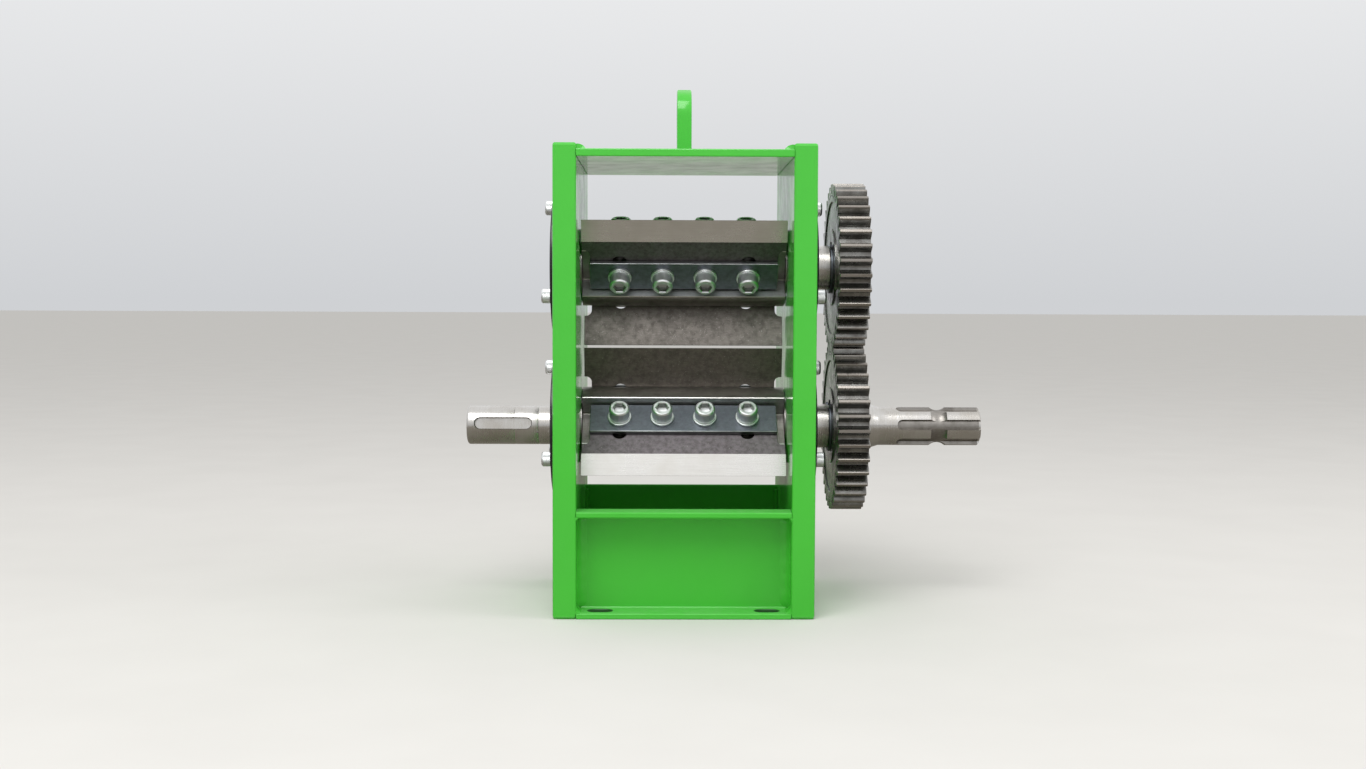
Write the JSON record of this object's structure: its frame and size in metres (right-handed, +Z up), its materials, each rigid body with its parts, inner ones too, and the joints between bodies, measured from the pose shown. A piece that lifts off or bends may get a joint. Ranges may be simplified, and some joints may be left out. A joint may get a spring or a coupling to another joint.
{
  "type": "twin-rotor wood chipper cutting unit",
  "caption": "Cutting unit of a wood chipper: a welded green frame with two geared knife rotors, a splined drive stub, a keyed stub and a lifting eye.",
  "frame": {"origin": "on the underside of the front channel, midway between its two fixing slots, on their centre line", "axes": "+Z up, +X along the shafts towards the splined drive stub, +Y from the infeed side to the discharge side"},
  "size_m": [0.4655, 0.2, 0.462],
  "materials": {
    "green_paint": "gloss enamel over welded steel",
    "black_paint": "black enamel over flame-cut steel",
    "turned_steel": "bright turned steel",
    "knife_steel": "dark hardened steel with a ground bevel",
    "blued_steel": "black oxide with zinc-plated bolts and washers",
    "ring_steel": "black oxide spring steel",
    "zinc": "bright zinc plate",
    "gear_steel": "oiled cut steel",
    "bearing_steel": "ground bearing steel"
  },
  "bodies": {
    "frame": {"side_plate_right": "green_paint", "side_plate_left": "green_paint", "top_plate": "green_paint", "lifting_eye": "green_paint", "front_channel": "green_paint", "rear_angle": "green_paint", "lower_bearing_outer_ring_right": "bearing_steel", "lower_bearing_cover_right": "black_paint", "lower_cover_screw_right_1": "zinc", "lower_cover_screw_right_2": "zinc", "lower_cover_screw_right_3": "zinc", "lower_bearing_outer_ring_left": "bearing_steel", "lower_bearing_cover_left": "black_paint", "lower_cover_screw_left_1": "zinc", "lower_cover_screw_left_2": "zinc", "lower_cover_screw_left_3": "zinc", "upper_bearing_outer_ring_right": "bearing_steel", "upper_bearing_cover_right": "black_paint", "upper_cover_screw_right_1": "zinc", "upper_cover_screw_right_2": "zinc", "upper_cover_screw_right_3": "zinc", "upper_bearing_outer_ring_left": "bearing_steel", "upper_bearing_cover_left": "black_paint", "upper_cover_screw_left_1": "zinc", "upper_cover_screw_left_2": "zinc", "upper_cover_screw_left_3": "zinc"},
    "lower_rotor": {"lower_shaft": "turned_steel", "lower_knife_1": "knife_steel", "lower_knife_clamp_1": "blued_steel", "lower_knife_2": "knife_steel", "lower_knife_clamp_2": "blued_steel", "lower_knife_3": "knife_steel", "lower_knife_clamp_3": "blued_steel", "lower_gear": "gear_steel", "lower_gear_key": "turned_steel", "lower_retaining_ring_1": "ring_steel", "lower_retaining_ring_2": "ring_steel", "lower_bearing_inner_ring_right": "bearing_steel", "lower_bearing_inner_ring_left": "bearing_steel"},
    "upper_rotor": {"upper_shaft": "turned_steel", "upper_knife_1": "knife_steel", "upper_knife_clamp_1": "blued_steel", "upper_knife_2": "knife_steel", "upper_knife_clamp_2": "blued_steel", "upper_knife_3": "knife_steel", "upper_knife_clamp_3": "blued_steel", "upper_gear": "gear_steel", "upper_gear_key": "turned_steel", "upper_retaining_ring_1": "ring_steel", "upper_retaining_ring_2": "ring_steel", "upper_bearing_inner_ring_right": "bearing_steel", "upper_bearing_inner_ring_left": "bearing_steel"}
  },
  "joints": [
    {"name": "lower_rotor_spin", "type": "hinge", "parent": "frame", "child": "lower_rotor", "pos_m": [0, 0.086, 0.1585], "axis": [1, 0, 0], "continuous": true},
    {"name": "upper_rotor_spin", "type": "hinge", "parent": "frame", "child": "upper_rotor", "pos_m": [0, 0.086, 0.3025], "axis": [1, 0, 0], "continuous": true}
  ],
  "couplings": [
    {"joint": "upper_rotor_spin", "follows": "lower_rotor_spin", "ratio": -1}
  ]
}
